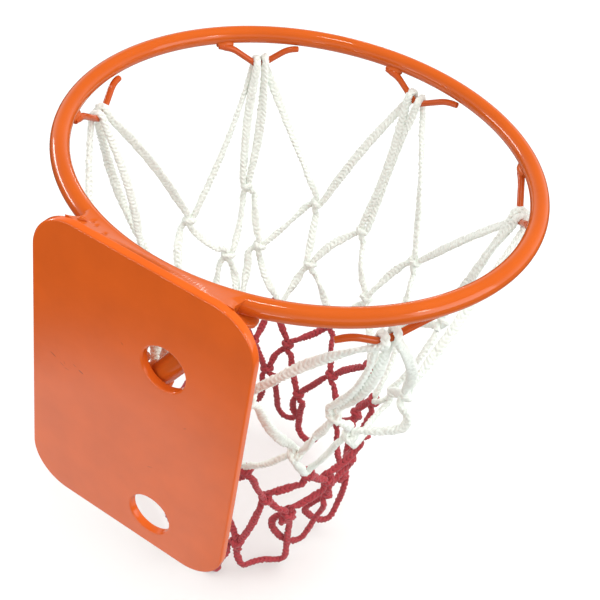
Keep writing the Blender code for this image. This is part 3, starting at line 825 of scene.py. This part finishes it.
def net_row(name, tops, lows, finish, flat, bow, last, random):
    """One closed run of cord: a wrap at each upper knot and, at each lower one, a bight or an open end loop."""
    run = CordRun(closed=True)
    for i, (top, low) in enumerate(zip(tops, lows)):
        wrap = put_shape(top, WRAP)
        next_start = put_shape(tops[(i + 1) % len(tops)], WRAP[:1])[0]
        run.add_knot(wrap)
        if last and i in SET_LOOPS:
            run.add([knot_place(entry) for entry in SET_LOOPS[i]], flat, 1.0, random.uniform(-0.9, 0.9))
        elif last:
            along, _, up = knot_frame(low)
            bottom = knot_place(low)
            turned = random.uniform(-0.9, 0.9)
            loop = [bottom + along * x * MM + up * z * MM for x, z in LOOP_BOTTOM]
            run.add(strand(wrap[-1], loop[0], random, bow, LOOP_SAG, 2), flat, 1.0, turned)
            # The bottom of a loop is rounder than its legs.
            run.add(loop, flat * 0.7, WIRE_SQUEEZE, turned)
            run.add(strand(loop[-1], next_start, random, bow, LOOP_SAG, 2), flat, 1.0, turned)
        else:
            bight = put_shape(low, BIGHT)
            for leg, (start, end) in enumerate(((wrap[-1], bight[0]), (bight[-1], next_start))):
                fall = random.uniform(0.55, 1.0) * flat
                turned, rate = random.uniform(-1.2, 1.2), random.uniform(-1.1, 1.1)
                push = PUSHES.get((name, i, leg), (0.0, 0.0, 0.0))
                for k, place in enumerate(strand(start, end, random, bow, MESH_SAG, 3, push)):
                    run.add([place], fall, 1.0, turned + rate * (k - 1))
                if leg == 0:
                    run.add_knot(bight, turned)
    return make_cord(name, run, finish)


def camera_and_lights():
    """The photograph's camera and the studio's lamps."""
    camera = bpy.data.cameras.new("photo_view")
    camera.sensor_width, camera.lens, camera.clip_start = SENSOR, LENS, 0.01
    holder = new_object("photo_view", camera)
    turn = Matrix((CAMERA_RIGHT, -CAMERA_DOWN, -CAMERA_FORWARD)).transposed().to_4x4()
    holder.matrix_world = Matrix.Translation(CAMERA_PLACE) @ turn
    bpy.context.scene.camera = holder
    for name, place, aim, size, watts, roll, shows in LAMPS:
        lamp = bpy.data.lights.new(name, "AREA")
        lamp.shape = "RECTANGLE"
        lamp.size, lamp.size_y = size
        lamp.energy = watts
        light = new_object(name, lamp)
        light.visible_camera = False
        light.visible_diffuse = shows != "gloss"
        light.visible_glossy = shows != "diffuse"
        turn = (Vector(aim) - Vector(place)).to_track_quat("-Z", "Y").to_matrix().to_4x4()
        light.matrix_world = Matrix.Translation(place) @ turn @ Matrix.Rotation(math.radians(roll), 4, "Z")


def light_paths(tree):
    """Which rays look: straight from the camera or through glass, by gloss, and scattered."""
    path = add_node(tree, "ShaderNodeLightPath").outputs
    direct = math_of(tree, "MAXIMUM", path["Is Camera Ray"], path["Is Transmission Ray"])
    return direct, path["Is Glossy Ray"], path["Is Diffuse Ray"]


def pale_background():
    """World: white for what the camera sees, a room for the gloss, a plain even light for the rest."""
    world = bpy.data.worlds.new("studio")
    bpy.context.scene.world = world
    world.use_nodes = True
    tree = world.node_tree
    tree.nodes.clear()
    direct, glossy, scattered = light_paths(tree)
    # Gloss sees a room with bright walls and a dark ceiling, so the enamel keeps its colour from above.
    toward = add_node(tree, "ShaderNodeNewGeometry").outputs["Incoming"]
    below = add_node(tree, "ShaderNodeSeparateXYZ", {0: toward}).outputs["Z"]
    walls = remap(tree, below, -0.65, -0.1, 0.06, 0.75, interpolation_type="SMOOTHSTEP")
    shown = math_of(tree, "MAXIMUM", direct, math_of(tree, "MULTIPLY", glossy, walls))
    strength = math_of(tree, "MAXIMUM", shown, math_of(tree, "MULTIPLY", scattered, ROOM_LIGHT))
    sky = add_node(tree, "ShaderNodeBackground", {"Color": (1.0, 1.0, 1.0, 1.0), "Strength": strength})
    add_node(tree, "ShaderNodeOutputWorld", {"Surface": sky.outputs[0]})


def floor_material():
    """Pale seamless paper round the hoop: white to the camera, with the hoop's shadow.

    Glossy surfaces see the white paper too, but only near the hoop; farther off it is painted near black for them
    alone, a painted dark reflection as of a darker room.
    """
    material, tree, shader = new_material("pale_studio_paper", Roughness=0.9)
    direct, glossy, scattered = light_paths(tree)
    place = add_node(tree, "ShaderNodeTexCoord").outputs["Object"]
    level = vector_of(tree, "MULTIPLY", place, (1.0, 1.0, 0.0))

    def patch(centre, inner, outer, strength):
        reach = vector_of(tree, "DISTANCE", level, centre)
        return remap(tree, reach, inner, outer, strength, 0.0, interpolation_type="SMOOTHSTEP")

    near = patch((RIM_CENTRE.x, RIM_CENTRE.y, 0.0), 0.24, 0.42, 1.0)
    # A patch of the paper just behind the plate is painted full white for gloss alone: a painted reflection on the
    # plate's back.
    painted_reflection_patch = patch((-0.1, -0.05, 0.0), 0.03, 0.17, 1.0)
    mirrored = math_of(tree, "MULTIPLY", glossy, math_of(tree, "MULTIPLY_ADD", near, PAPER_MIRRORED, painted_reflection_patch))
    # What scatters up from the paper is dimmed, so undersides stay shaded.
    dimmed = math_of(tree, "MULTIPLY", scattered, PAPER_SCATTERED)
    amount = math_of(tree, "MAXIMUM", math_of(tree, "MAXIMUM", direct, mirrored), dimmed)
    paper = blend(tree, amount, PAPER_FAR_PAINTED_DARK, linear(bpy.context.scene.hoop_colours.floor))
    tree.links.new(paper, shader.inputs["Base Color"])
    return material


def make_plate_mesh(name, metal):
    """The plate as rings of points that follow its outline and its holes, inset round the edges' rounding."""
    low, high = PLATE_LOW, PLATE_HIGH
    half_x, half_z = (high.x - low.x) / 2, (high.z - low.z) / 2
    middle = Vector(((low.x + high.x) / 2, 0.0, (low.z + high.z) / 2))
    edge, edge_steps, corner_steps, hole_sides = metal.edge_radius, 5, 24, 72
    # The edge's section from the back to the front: how far it is inset, and its depth.
    section = []
    for k in range(edge_steps + 1):
        turn = math.radians(90 * k / edge_steps)
        section.append((edge * (1 - math.sin(turn)), low.y + edge * (1 - math.cos(turn))))
    section += [(inset, low.y + high.y - y) for inset, y in reversed(section)]

    def outline(inset):
        corner = metal.corner_radius - inset
        found = []
        for side_x, side_z, first in ((1, 1, 0), (-1, 1, 90), (-1, -1, 180), (1, -1, 270)):
            for step in range(corner_steps + 1):
                turn = math.radians(first + 90 * step / corner_steps)
                x = middle.x + side_x * (half_x - metal.corner_radius) + corner * math.cos(turn)
                z = middle.z + side_z * (half_z - metal.corner_radius) + corner * math.sin(turn)
                found.append((x, z))
        return found

    def hole(centre, inset):
        radius = metal.hole_diameter / 2 + inset
        turns = [2 * math.pi * k / hole_sides for k in range(hole_sides)]
        return [(centre[0] + radius * math.cos(t), centre[1] - radius * math.sin(t)) for t in turns]

    def pairs(ring):
        return zip(ring, ring[1:] + ring[:1])

    shape = bmesh.new()
    borders = ([], [])
    for ring_at in (outline, lambda inset: hole(HOLES[0], inset), lambda inset: hole(HOLES[1], inset)):
        rings = [[shape.verts.new((x, y, z)) for x, z in ring_at(inset)] for inset, y in section]
        for first, second in zip(rings, rings[1:]):
            for (a, b), (d, c) in zip(pairs(first), pairs(second)):
                shape.faces.new((a, b, c, d)).smooth = True
        for border, ring in zip(borders, (rings[0], rings[-1])):
            border.extend(shape.edges.get(pair) for pair in pairs(ring))
    for border in borders:
        filled = bmesh.ops.triangle_fill(shape, edges=border, use_beauty=True)
        for item in filled["geom"]:
            if isinstance(item, bmesh.types.BMFace):
                item.smooth = False
    bmesh.ops.recalc_face_normals(shape, faces=shape.faces)
    return object_of(name, shape)


def fillet_mesh(name, metal):
    """The rim weld: a rippled saddle from the plate's top edge down to the bar, with a hollow at each end."""
    bar = BAR_DIAMETER / 2
    across, along = 25, 221
    # The weld ends on the bar's crown, a little past its top, and starts just inside the plate's front edge.
    over = math.radians(14)
    end_z = RIM_CENTRE.z + bar * math.cos(over) + 0.15 * MM
    start_y, start_z = PLATE_HIGH.y - 0.5 * MM, PLATE_HIGH.z - 0.25 * MM
    hollow, end_sink, floor_z = 2.5 * MM, 1.6 * MM, RIM_CENTRE.z - 1.0 * MM
    # The weld sinks over this share of its half length at each end. It is about this wide, in mm.
    taper, width = 0.07, 7
    # The ripples show most in one place, where the arc ran hot.
    hot, hot_reach = 27 * MM, 14 * MM
    faint_ripple, hot_ripple, wave_height = 0.012 * MM, 0.06 * MM, 0.035 * MM
    # Slow waves along the weld: radians to the metre, share of the height, and lean across it.
    waves = ((210, 1.0, 0), (430, 0.6, 0), (830, 0.5, 5))
    phases = np.random.default_rng(3).uniform(0, 2 * math.pi, len(waves))
    top_rows, low_rows = [], []
    for i in range(along):
        s = -1 + 2 * i / (along - 1)
        edge = max(0.0, (abs(s) - 1 + taper) / taper)
        top_row, low_row = [], []
        for j in range(across):
            t = j / (across - 1)
            x = s * (metal.weld_half_length - hollow * 4 * t * (1 - t))
            bar_y = RIM_CENTRE.y - math.sqrt(RIM_RADIUS**2 - x**2)
            y = start_y * (1 - t) + (bar_y + bar * math.sin(over)) * t
            z = end_z + (start_z - end_z) * (1 - t) ** 1.35
            middle = math.sin(math.pi * t)
            # The ripples bow along the weld, and their pitch wanders a little.
            ripple = abs(math.sin(math.pi * (x + 1.2 * MM * middle) / metal.ripple_pitch + 0.7 * math.sin(x * 90)))
            wave = sum(w * math.sin(x * rate + phase + lean * t) for (rate, w, lean), phase in zip(waves, phases))
            strong = faint_ripple + hot_ripple * math.exp(-(((x - hot) / hot_reach) ** 2))
            z += middle * (strong * ripple + wave_height * wave - end_sink * edge**2)
            for pit_x, pit_t, wide, deep in PITS:
                apart = ((x - pit_x * MM) / (wide * MM)) ** 2 + ((t - pit_t) * width / wide) ** 2
                z -= deep * MM * math.exp(-apart)
            top_row.append((x, y, z))
            low_row.append((x, y, floor_z + 1.5 * MM * edge**2))
        top_rows.append(top_row)
        low_rows.append(low_row)
    shape = bmesh.new()
    upper, lower = ([[shape.verts.new(p) for p in row] for row in rows] for rows in (top_rows, low_rows))
    for grid in (upper, lower):
        for i in range(along - 1):
            for j in range(across - 1):
                shape.faces.new((grid[i][j], grid[i + 1][j], grid[i + 1][j + 1], grid[i][j + 1]))
    for j in range(across - 1):
        for i in (0, along - 1):
            shape.faces.new((upper[i][j], upper[i][j + 1], lower[i][j + 1], lower[i][j]))
    for i in range(along - 1):
        for j in (0, across - 1):
            shape.faces.new((upper[i][j], upper[i + 1][j], lower[i + 1][j], lower[i][j]))
    bmesh.ops.recalc_face_normals(shape, faces=shape.faces)
    for face in shape.faces:
        face.smooth = True
    made = object_of(name, shape)
    made.data.set_sharp_from_angle(angle=math.radians(50))
    return made


def hook_point(hook, along, inset, drop):
    """A point by a hook: distance along the rim, inset from its circle and drop, in mm."""
    return below_rim(hook[0], along * MM, RIM_RADIUS - inset * MM, drop * MM)


def hook_path(hook):
    """The wire's bend points, weld end to free end, as arrays."""
    tail = tuple(place + shift for place, shift in zip(hook[1], HOOK_TAIL))
    corners = [hook_point(hook, *place) for place in (tail, *hook[1:5])]
    path = [corners[0]]
    for before, corner, after in zip(corners, corners[1:], corners[2:]):
        start = corner + unit(before - corner) * HOOK_BEND
        end = corner + unit(after - corner) * HOOK_BEND
        for step in range(9):
            t = step / 8
            path.append((1 - t) ** 2 * start + 2 * t * (1 - t) * corner + t**2 * end)
    path.append(corners[-1])
    return path


def hook_places(hook):
    """The wire's line as rows of distance along the rim, radius and drop, in order along the rim."""
    rows = []
    for point in hook_path(hook):
        x, y = point[0] - RIM_CENTRE.x, point[1] - RIM_CENTRE.y
        radius = math.hypot(x, y)
        turn = (math.atan2(y, x) - math.radians(hook[0]) + math.pi) % (2 * math.pi) - math.pi
        rows.append((turn * radius, radius, RIM_CENTRE.z - point[2]))
    return np.array(sorted(rows))


class HOOP_OT_stage(bpy.types.Operator):
    """Makes the camera at the photograph's angle, the soft lamps, the pale background and the floor"""

    bl_idname = "hoop.make_stage"
    bl_label = "Make stage"

    def execute(self, context):
        context.scene.view_settings.view_transform = "Standard"
        camera_and_lights()
        pale_background()
        mesh = bpy.data.meshes.new("floor")
        corners = [(x * FLOOR_REACH, y * FLOOR_REACH) for x, y in ((-1, -1), (1, -1), (1, 1), (-1, 1))]
        mesh.from_pydata([(x, y, CAD_BOX[0].z - FLOOR_DROP) for x, y in corners], [], [(0, 1, 2, 3)])
        floor = new_object("floor", mesh)
        mesh.materials.append(floor_material())
        return {"FINISHED"}


class HOOP_OT_plate(bpy.types.Operator):
    """Makes the flat steel plate with rounded corners and two bolt holes"""

    bl_idname = "hoop.make_plate"
    bl_label = "Make plate"

    def execute(self, context):
        plate = make_plate_mesh("plate", context.scene.hoop_metal)
        plate.data.materials.append(material_of("orange_enamel_on_plate"))
        place_piece(plate, "plate_enamel", "mounting_plate")
        return {"FINISHED"}


class HOOP_OT_rim(bpy.types.Operator):
    """Makes the rim from round bar bent to a full circle"""

    bl_idname = "hoop.make_rim"
    bl_label = "Make rim"

    def execute(self, context):
        ring = [below_rim(k / 2, 0.0, RIM_RADIUS, 0.0) for k in range(720)]
        rim = make_bar("rim_bar", ring, "orange_enamel_on_bar_painted_shade", BAR_DIAMETER, closed=True, sides=48, step=2.0)
        place_piece(rim, "rim_enamel", "rim")
        return {"FINISHED"}


class HOOP_OT_rim_weld(bpy.types.Operator):
    """Makes the weld that fills the wedge between the rim and the plate's top edge"""

    bl_idname = "hoop.make_rim_weld"
    bl_label = "Make rim weld"

    def execute(self, context):
        metal = context.scene.hoop_metal
        fillet = fillet_mesh("rim_weld_fillet", metal)
        fillet.data.materials.append(material_of("orange_enamel_on_weld_painted_shade"))
        # A drop of weld stands on the fillet where the weld began.
        drop = make_bar(
            "rim_weld_drop",
            [np.array(place) * MM for place in WELD_DROP],
            "orange_enamel_on_weld_painted_shade",
            metal.bead / 2,
            thickness=[0.5, 1.0, 0.95, 0.5],
            uneven=0.5 * MM,
        )
        place_piece(joined("rim_fillet", [fillet, drop]), "weld_enamel", "rim_weld")
        return {"FINISHED"}


class HOOP_OT_braces(bpy.types.Operator):
    """Makes the two brace rods under the rim, each with a ring of weld at its foot and its head"""

    bl_idname = "hoop.make_brace_rods"
    bl_label = "Make brace rods"

    def execute(self, context):
        metal = context.scene.hoop_metal
        front, bar, rod_radius = PLATE_HIGH.y, BAR_DIAMETER / 2, metal.brace / 2
        # How far the foot stands off the plate and the head sinks into the bar, and how far their rings of weld
        # stand off the plate and lie up the rod from its foot and down it from its head.
        foot_off, head_in = 0.3 * MM, 1.0 * MM
        foot_weld_off, foot_weld_up, head_weld_down = 0.8 * MM, 1.0 * MM, 1.6 * MM
        head_y = RIM_CENTRE.y - math.sqrt(RIM_RADIUS**2 - BRACE_HEAD_SIDE**2)
        for name, node, side in (("brace_left", "brace_rod_left", -1), ("brace_right", "brace_rod_right", 1)):
            foot = np.array([side * BRACE_FOOT[0], front + foot_off + rod_radius, RIM_CENTRE.z - BRACE_FOOT[1]])
            head = np.array([side * BRACE_HEAD_SIDE, head_y, RIM_CENTRE.z - bar + head_in])
            way = unit(head - foot)
            foot = foot - way * BRACE_TAIL
            line = [foot + (head - foot) * k / 60 for k in range(61)]
            parts = [make_bar(name + "_rod", line, "orange_enamel_on_bar_painted_shade", metal.brace, sides=48, step=1.0)]
            # The foot's weld lies on the plate, where the rod's flank meets it, and the head's under the bar.
            first = unit(np.cross(way, (0.0, 1.0, 0.0)))
            second = unit(np.cross(way, first))
            foot_ring, head_ring = [], []
            for k in range(48):
                turn = 2 * math.pi * k / 48
                around = (first * math.cos(turn) + second * math.sin(turn)) * rod_radius
                skirt = foot + way * foot_weld_up + around
                skirt[1] = max(skirt[1], front + foot_weld_off)
                foot_ring.append(skirt)
                cap = head + around - way * head_weld_down
                cap[2] = min(cap[2], RIM_CENTRE.z - bar * 0.55)
                head_ring.append(cap)
            for label, ring in (("_foot_weld", foot_ring), ("_head_weld", head_ring)):
                bead = make_bar(
                    name + label,
                    ring,
                    "orange_enamel_on_weld_painted_shade",
                    metal.bead * 0.6,
                    closed=True,
                    ripple=0.2 * MM,
                    uneven=1.0 * MM,
                    sides=20,
                )
                parts.append(bead)
            place_piece(joined(name, parts), "brace_enamel", node)
        return {"FINISHED"}


class HOOP_OT_hooks(bpy.types.Operator):
    """Makes the six open wire hooks, each welded under the rim at one end"""

    bl_idname = "hoop.make_net_hooks"
    bl_label = "Make net hooks"

    def execute(self, context):
        metal = context.scene.hoop_metal
        for number, hook in enumerate(HOOKS, 1):
            path = hook_path(hook)
            # The tail is hammered out, the wire swells at its weld, and its free end is nipped off.
            swell = [min(0.75 + 0.2 * k, 1.2 - 0.02 * k) for k in range(9)]
            wire = make_bar(
                "hook_wire_part",
                path,
                "orange_enamel_on_wire_painted_shade",
                metal.wire,
                thickness=[*swell, *[1.0] * (len(path) - 10), 0.9],
                step=0.6,
            )
            start, end = (hook_point(hook, hook[1][0] + along, inset, drop) for along, inset, drop in HOOK_BEAD)
            bead = make_bar(
                "hook_weld_part",
                [start + (end - start) * k / 24 for k in range(25)],
                "orange_enamel_on_weld_painted_shade",
                metal.bead * 1.14,
                thickness=[0.25 + 0.75 * math.sin(math.pi * (k + 2.6) / 29.2) ** 0.8 for k in range(25)],
                ripple=0.1 * MM,
                uneven=0.6 * MM,
                sides=20,
            )
            place_piece(joined("hook_%d" % number, [wire, bead]), "hook_enamel", "net_hook_%d" % number)
        return {"FINISHED"}


class HOOP_OT_hung_loops(bpy.types.Operator):
    """Hangs the net's top cord: for each hook one run that passes twice over the wire"""

    bl_idname = "hoop.make_hung_loops"
    bl_label = "Hang top loops"

    def execute(self, context):
        net = context.scene.hoop_net
        random = np.random.default_rng(net.seed)
        ordered = sorted(hook[0] % 360 for hook in HOOKS)
        # From the wire's middle to the cord's, which beds down on it a little.
        saddle = context.scene.hoop_metal.wire / 2 + net.round_diameter * 0.45

        def over_wire(hook, along, from_outside):
            """Half a turn over the hook's wire at this distance along the rim."""
            wire = hook_places(hook)
            radius, drop = (np.interp(along * MM, wire[:, 0], wire[:, k]) for k in (1, 2))
            found = []
            for step in range(9):
                turn = math.pi * step / 8
                side = math.cos(turn) if from_outside else -math.cos(turn)
                found.append(below_rim(hook[0], along * MM, radius + side * saddle, drop - saddle * math.sin(turn)))
            return found

        for number, hook in enumerate(HOOKS, 1):
            name = "top_loops_%d" % number
            place = 2 * ordered.index(hook[0] % 360)
            middle, half = hook[5]
            # On the first hook both passes go from the inside to the outside.
            left = over_wire(hook, middle - half, number != 1)
            right = over_wire(hook, middle + half, False)
            bight = put_shape(HUNG_KNOTS[place], BIGHT)
            first = put_shape(HUNG_KNOTS[place - 1], BIGHT)[3:]
            final = put_shape(HUNG_KNOTS[(place + 1) % 12], BIGHT)[:4]
            run = CordRun(closed=False)
            run.add_knot(first)
            stops = (first, left, bight, right, final)
            for index, (start, end) in enumerate(zip(stops, stops[1:])):
                turned, rate = random.uniform(-0.9, 0.9), random.uniform(-0.8, 0.8)
                fall = random.uniform(0.75, 1.0)
                push = PUSHES.get((name, 0, index), (0.0, 0.0, 0.0))
                for k, point in enumerate(strand(start[-1], end[0], random, HUNG_BOW, HUNG_SAG, 4, push)):
                    run.add([point], fall, 1.0, turned + rate * (k - 1.5))
                if end is left or end is right:
                    run.add(end, WIRE_FLATNESS, WIRE_SQUEEZE, turned)
                elif end is bight:
                    run.add_knot(bight, turned)
            run.add_knot(final)
            place_piece(make_cord(name, run, "white_polyester_braid"), "white_cord", "hung_loops_%d" % number)
        return {"FINISHED"}


class HOOP_OT_net_rows(bpy.types.Operator):
    """Knots the net's two white rows, two red rows and the row of open end loops"""

    bl_idname = "hoop.make_net_rows"
    bl_label = "Knot net rows"

    def execute(self, context):
        # Name, node, upper and lower knots, colour, how flat the cord lies, how far it bows, and if it ends the net.
        rows = (
            ("white_meshes_1", "net_white_row_1", HUNG_KNOTS, WHITE_KNOTS, "white", 0.95, 2.6 * MM, False),
            ("white_meshes_2", "net_white_row_2", WHITE_KNOTS, CHANGE_KNOTS, "white", 0.9, 2.2 * MM, False),
            ("red_meshes_1", "net_red_row_1", CHANGE_KNOTS, RED_KNOTS, "red", 0.6, 1.6 * MM, False),
            ("red_meshes_2", "net_red_row_2", RED_KNOTS, LAST_KNOTS, "red", 0.4, 1.6 * MM, False),
            ("red_loops", "net_red_end_loops", LAST_KNOTS, END_LOOPS, "red", 0.35, 1.8 * MM, True),
        )
        for index, (name, node, tops, lows, colour, flat, bow, last) in enumerate(rows):
            random = np.random.default_rng(context.scene.hoop_net.seed + 10 + index)
            cord = net_row(name, tops, lows, colour + "_polyester_braid", flat, bow, last, random)
            place_piece(cord, colour + "_cord", node)
        return {"FINISHED"}


OPERATORS = (
    HOOP_OT_stage,
    HOOP_OT_plate,
    HOOP_OT_rim,
    HOOP_OT_rim_weld,
    HOOP_OT_braces,
    HOOP_OT_hooks,
    HOOP_OT_hung_loops,
    HOOP_OT_net_rows,
)


class HOOP_PT_panel(bpy.types.Panel):
    """Lists the hoop's sizes and colours and one button for each group of pieces"""

    bl_idname = "HOOP_PT_panel"
    bl_label = "Mini hoop"
    bl_space_type = "VIEW_3D"
    bl_region_type = "UI"
    bl_category = "Hoop"

    def draw(self, context):
        for group in (context.scene.hoop_metal, context.scene.hoop_net, context.scene.hoop_colours):
            column = self.layout.column(align=True)
            for name in group.bl_rna.properties.keys():
                if name not in ("rna_type", "name"):
                    column.prop(group, name)
        for operator in OPERATORS:
            self.layout.operator(operator.bl_idname)


GROUPS = (("hoop_metal", HoopMetal), ("hoop_net", HoopNet), ("hoop_colours", HoopColours))


def register():
    for name, group in GROUPS:
        bpy.utils.register_class(group)
        setattr(bpy.types.Scene, name, bpy.props.PointerProperty(type=group))
    for operator in OPERATORS:
        bpy.utils.register_class(operator)
    bpy.utils.register_class(HOOP_PT_panel)


def unregister():
    bpy.utils.unregister_class(HOOP_PT_panel)
    for operator in reversed(OPERATORS):
        bpy.utils.unregister_class(operator)
    for name, group in reversed(GROUPS):
        delattr(bpy.types.Scene, name)
        bpy.utils.unregister_class(group)


def main():
    register()
    bpy.ops.hoop.make_stage()
    bpy.ops.hoop.make_plate()
    bpy.ops.hoop.make_rim()
    bpy.ops.hoop.make_rim_weld()
    bpy.ops.hoop.make_brace_rods()
    bpy.ops.hoop.make_net_hooks()
    bpy.ops.hoop.make_hung_loops()
    bpy.ops.hoop.make_net_rows()


if __name__ == "__main__":
    main()
